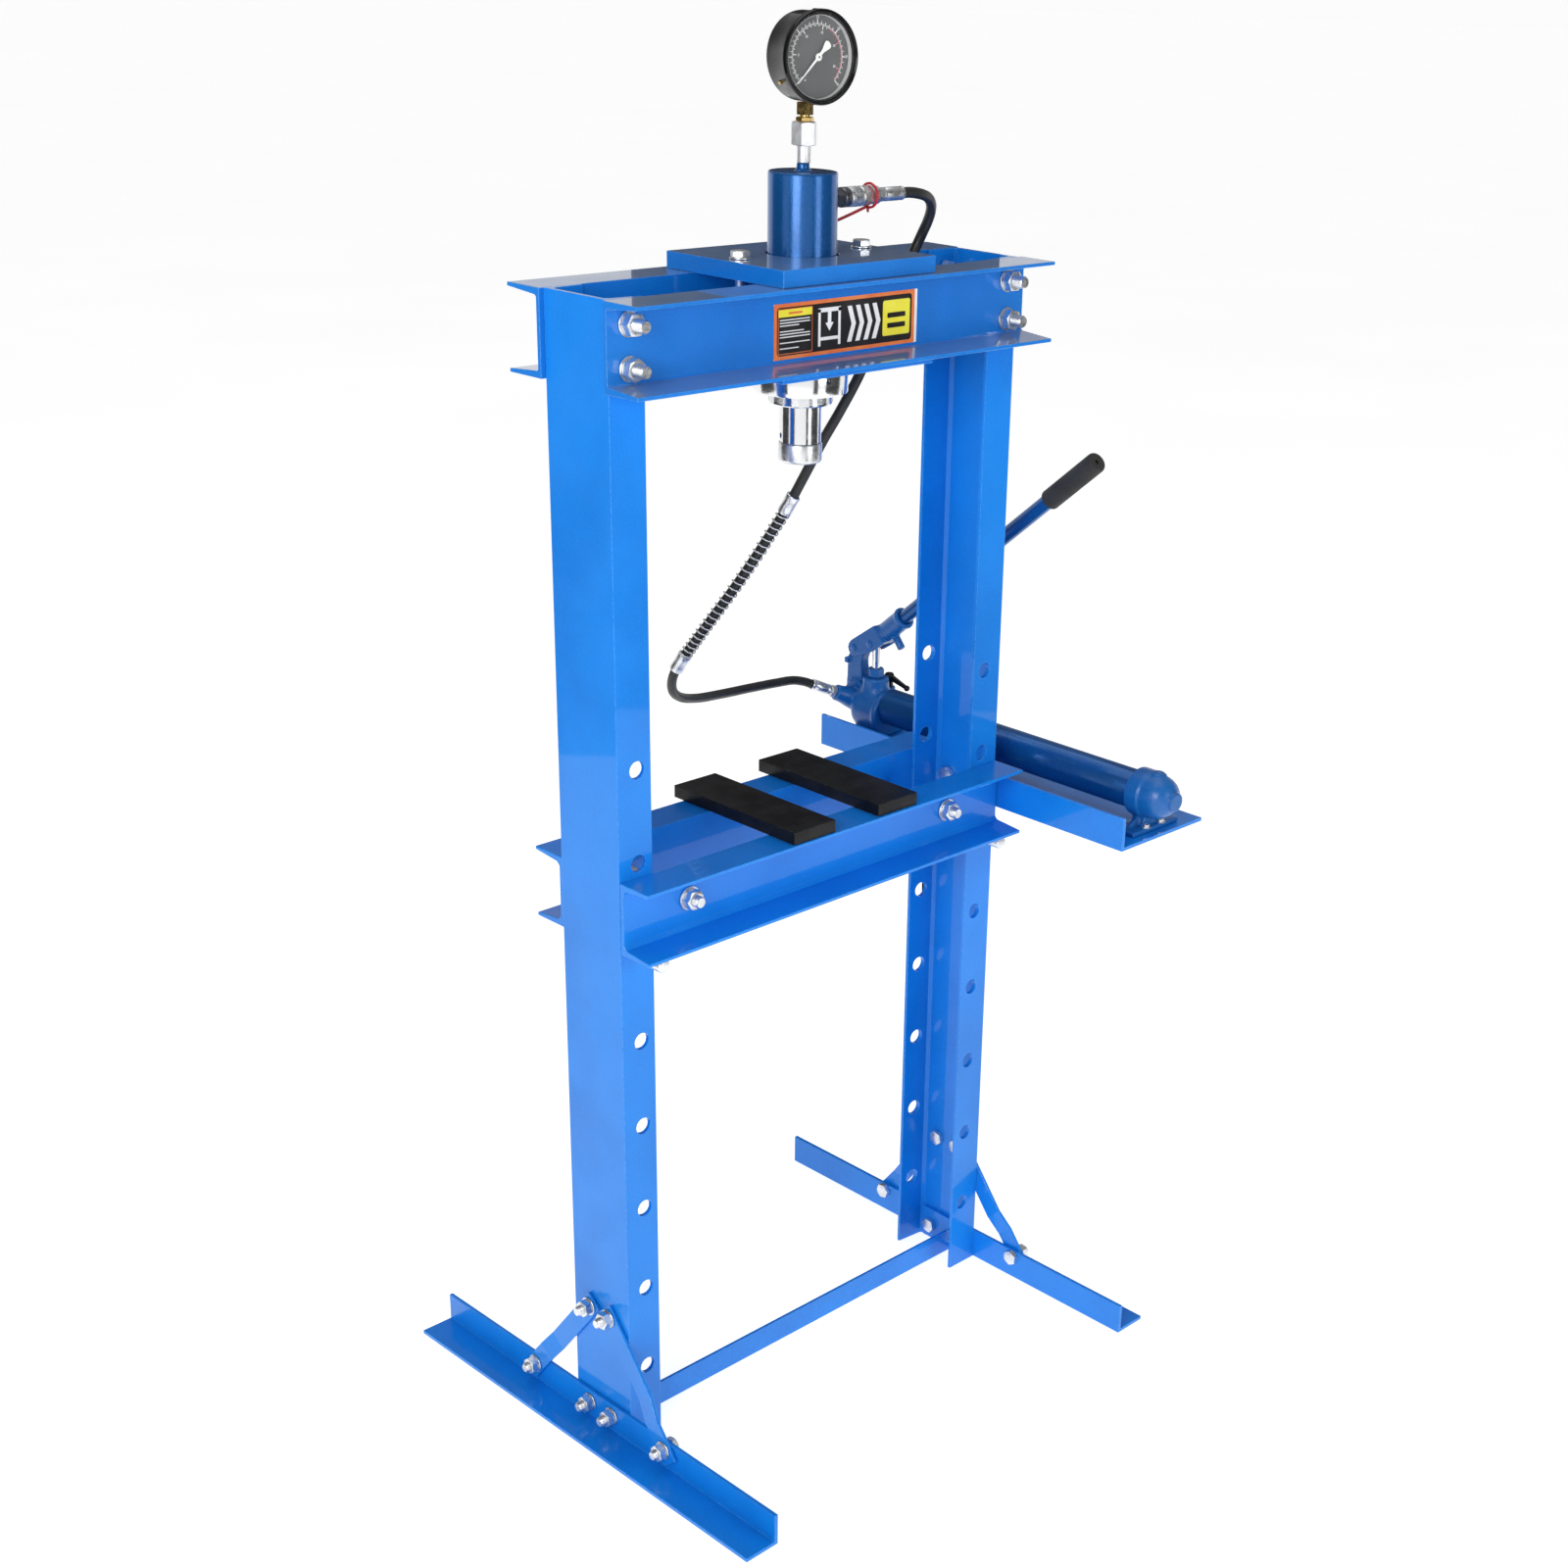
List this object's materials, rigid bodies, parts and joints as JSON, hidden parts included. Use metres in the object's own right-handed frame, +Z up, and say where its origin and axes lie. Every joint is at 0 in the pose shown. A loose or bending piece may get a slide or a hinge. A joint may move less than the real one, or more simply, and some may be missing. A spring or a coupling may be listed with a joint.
{
  "type": "hydraulic shop press",
  "caption": "Floor-standing H-frame shop press with a height-adjustable bed on pins, a hose-fed hydraulic cylinder with a pressure gauge, and a hand pump on a side bracket.",
  "frame": {"origin": "middle of the footprint, on the floor", "axes": "+X to the pump's side, +Y to the back, +Z up"},
  "size_m": [0.8046, 0.616, 1.6024],
  "materials": {
    "enamel": "bright azure gloss enamel",
    "pump_enamel": "darker blue satin enamel",
    "zinc": "bright zinc plating",
    "chrome": "polished",
    "brass": "machined",
    "rubber": "satin black",
    "black_paint": "satin black, worn at the edges",
    "black_case": "satin black",
    "dial": "matt grey print",
    "needle_white": "white",
    "glass": "clear",
    "red_strap": "moulded red"
  },
  "bodies": {
    "frame": {"left_upright": "enamel", "right_upright": "enamel", "head_beam_front": "enamel", "head_beam_rear": "enamel", "left_foot": "enamel", "right_foot": "enamel", "base_strut": "enamel", "left_front_brace": "enamel", "left_rear_brace": "enamel", "right_front_brace": "enamel", "right_rear_brace": "enamel", "head_plate_upper": "enamel", "head_plate_lower": "enamel", "pump_bracket": "enamel", "cylinder_body": "pump_enamel", "pump_reservoir": "pump_enamel", "pump_end_cap": "pump_enamel", "pump_head": "pump_enamel", "head_bolt_left_front_lower": "zinc", "head_bolt_left_front_upper": "zinc", "head_bolt_left_rear_lower": "zinc", "head_bolt_left_rear_upper": "zinc", "head_bolt_right_front_lower": "zinc", "head_bolt_right_front_upper": "zinc", "head_bolt_right_rear_lower": "zinc", "head_bolt_right_rear_upper": "zinc", "head_plate_bolt_left": "zinc", "head_plate_bolt_right": "zinc", "bracket_bolt_front": "zinc", "bracket_bolt_rear": "zinc", "coupler_nipple": "zinc", "hose_fitting_upper": "zinc", "hose_fitting_lower": "zinc", "hose_spring_guard": "zinc", "cylinder_lock_ring": "chrome", "gauge_adapter": "chrome", "gauge_stem": "brass", "hose": "rubber", "gauge_case": "black_case", "gauge_dial": "dial", "gauge_lens": "glass", "dust_cap_strap": "red_strap"},
    "ram": {"ram": "chrome", "ram_tip": "chrome"},
    "bed": {"bed_channel_front": "enamel", "bed_channel_rear": "enamel", "bed_bolt_left": "zinc", "bed_bolt_right": "zinc"},
    "pin_left": {"bed_pin_left": "zinc"},
    "pin_right": {"bed_pin_right": "zinc"},
    "plate_left": {"press_plate_left": "black_paint"},
    "plate_right": {"press_plate_right": "black_paint"},
    "pump_lever": {"pump_yoke": "pump_enamel"},
    "handle": {"handle_tube": "pump_enamel", "handle_grip": "rubber"},
    "thumb_screw": {"handle_screw": "pump_enamel"},
    "piston": {"pump_piston": "chrome"},
    "valve": {"release_valve": "black_case"},
    "needle": {"gauge_needle": "needle_white"},
    "collar": {"coupler_collar": "zinc"}
  },
  "joints": [
    {"name": "ram_slide", "type": "slide", "parent": "frame", "child": "ram", "axis": [0, 0, -1], "range_m": [0, 0.15], "stiffness_N_per_m": 700, "springref_m": -0.12},
    {"name": "bed_lift", "type": "slide", "parent": "frame", "child": "bed", "axis": [0, 0, 1], "range_m": [0, 0.214]},
    {"name": "pin_left_pull", "type": "slide", "parent": "frame", "child": "pin_left", "axis": [0, -1, 0], "range_m": [0, 0.15]},
    {"name": "pin_right_pull", "type": "slide", "parent": "frame", "child": "pin_right", "axis": [0, -1, 0], "range_m": [0, 0.15]},
    {"name": "plate_left_slide", "type": "slide", "parent": "bed", "child": "plate_left", "axis": [1, 0, 0], "range_m": [-0.167, 0.035]},
    {"name": "plate_right_slide", "type": "slide", "parent": "bed", "child": "plate_right", "axis": [1, 0, 0], "range_m": [-0.035, 0.138]},
    {"name": "pump_stroke", "type": "hinge", "parent": "frame", "child": "pump_lever", "pos_m": [0.325, 0.27002, 0.78201], "axis": [1, 0, 0], "range_deg": [-10, 35]},
    {"name": "piston_slide", "type": "slide", "parent": "frame", "child": "piston", "axis": [0, 0, -1], "range_m": [-0.006, 0.0195]},
    {"name": "handle_pull", "type": "slide", "parent": "pump_lever", "child": "handle", "axis": [0, -0.766, 0.6428], "range_m": [0, 0.05]},
    {"name": "thumb_screw_turn", "type": "hinge", "parent": "pump_lever", "child": "thumb_screw", "pos_m": [0.325, 0.20199, 0.80346], "axis": [0, 0.6428, 0.766], "continuous": true},
    {"name": "release_turn", "type": "hinge", "parent": "frame", "child": "valve", "pos_m": [0.347, 0.238, 0.74], "axis": [0, 0, 1], "range_deg": [0, 90]},
    {"name": "needle_turn", "type": "hinge", "parent": "frame", "child": "needle", "pos_m": [-0.045, 0, 1.555], "axis": [0.1045, 0.9945, 0], "range_deg": [0, 270], "stiffness_Nm_per_rad": 0.002, "springref_deg": -17.19},
    {"name": "collar_turn", "type": "hinge", "parent": "frame", "child": "collar", "pos_m": [0.027, 0, 1.41], "axis": [1, 0, 0], "continuous": true}
  ],
  "couplings": [
    {"joint": "piston_slide", "follows": "pump_stroke", "m_per_rad": 0.0305}
  ]
}
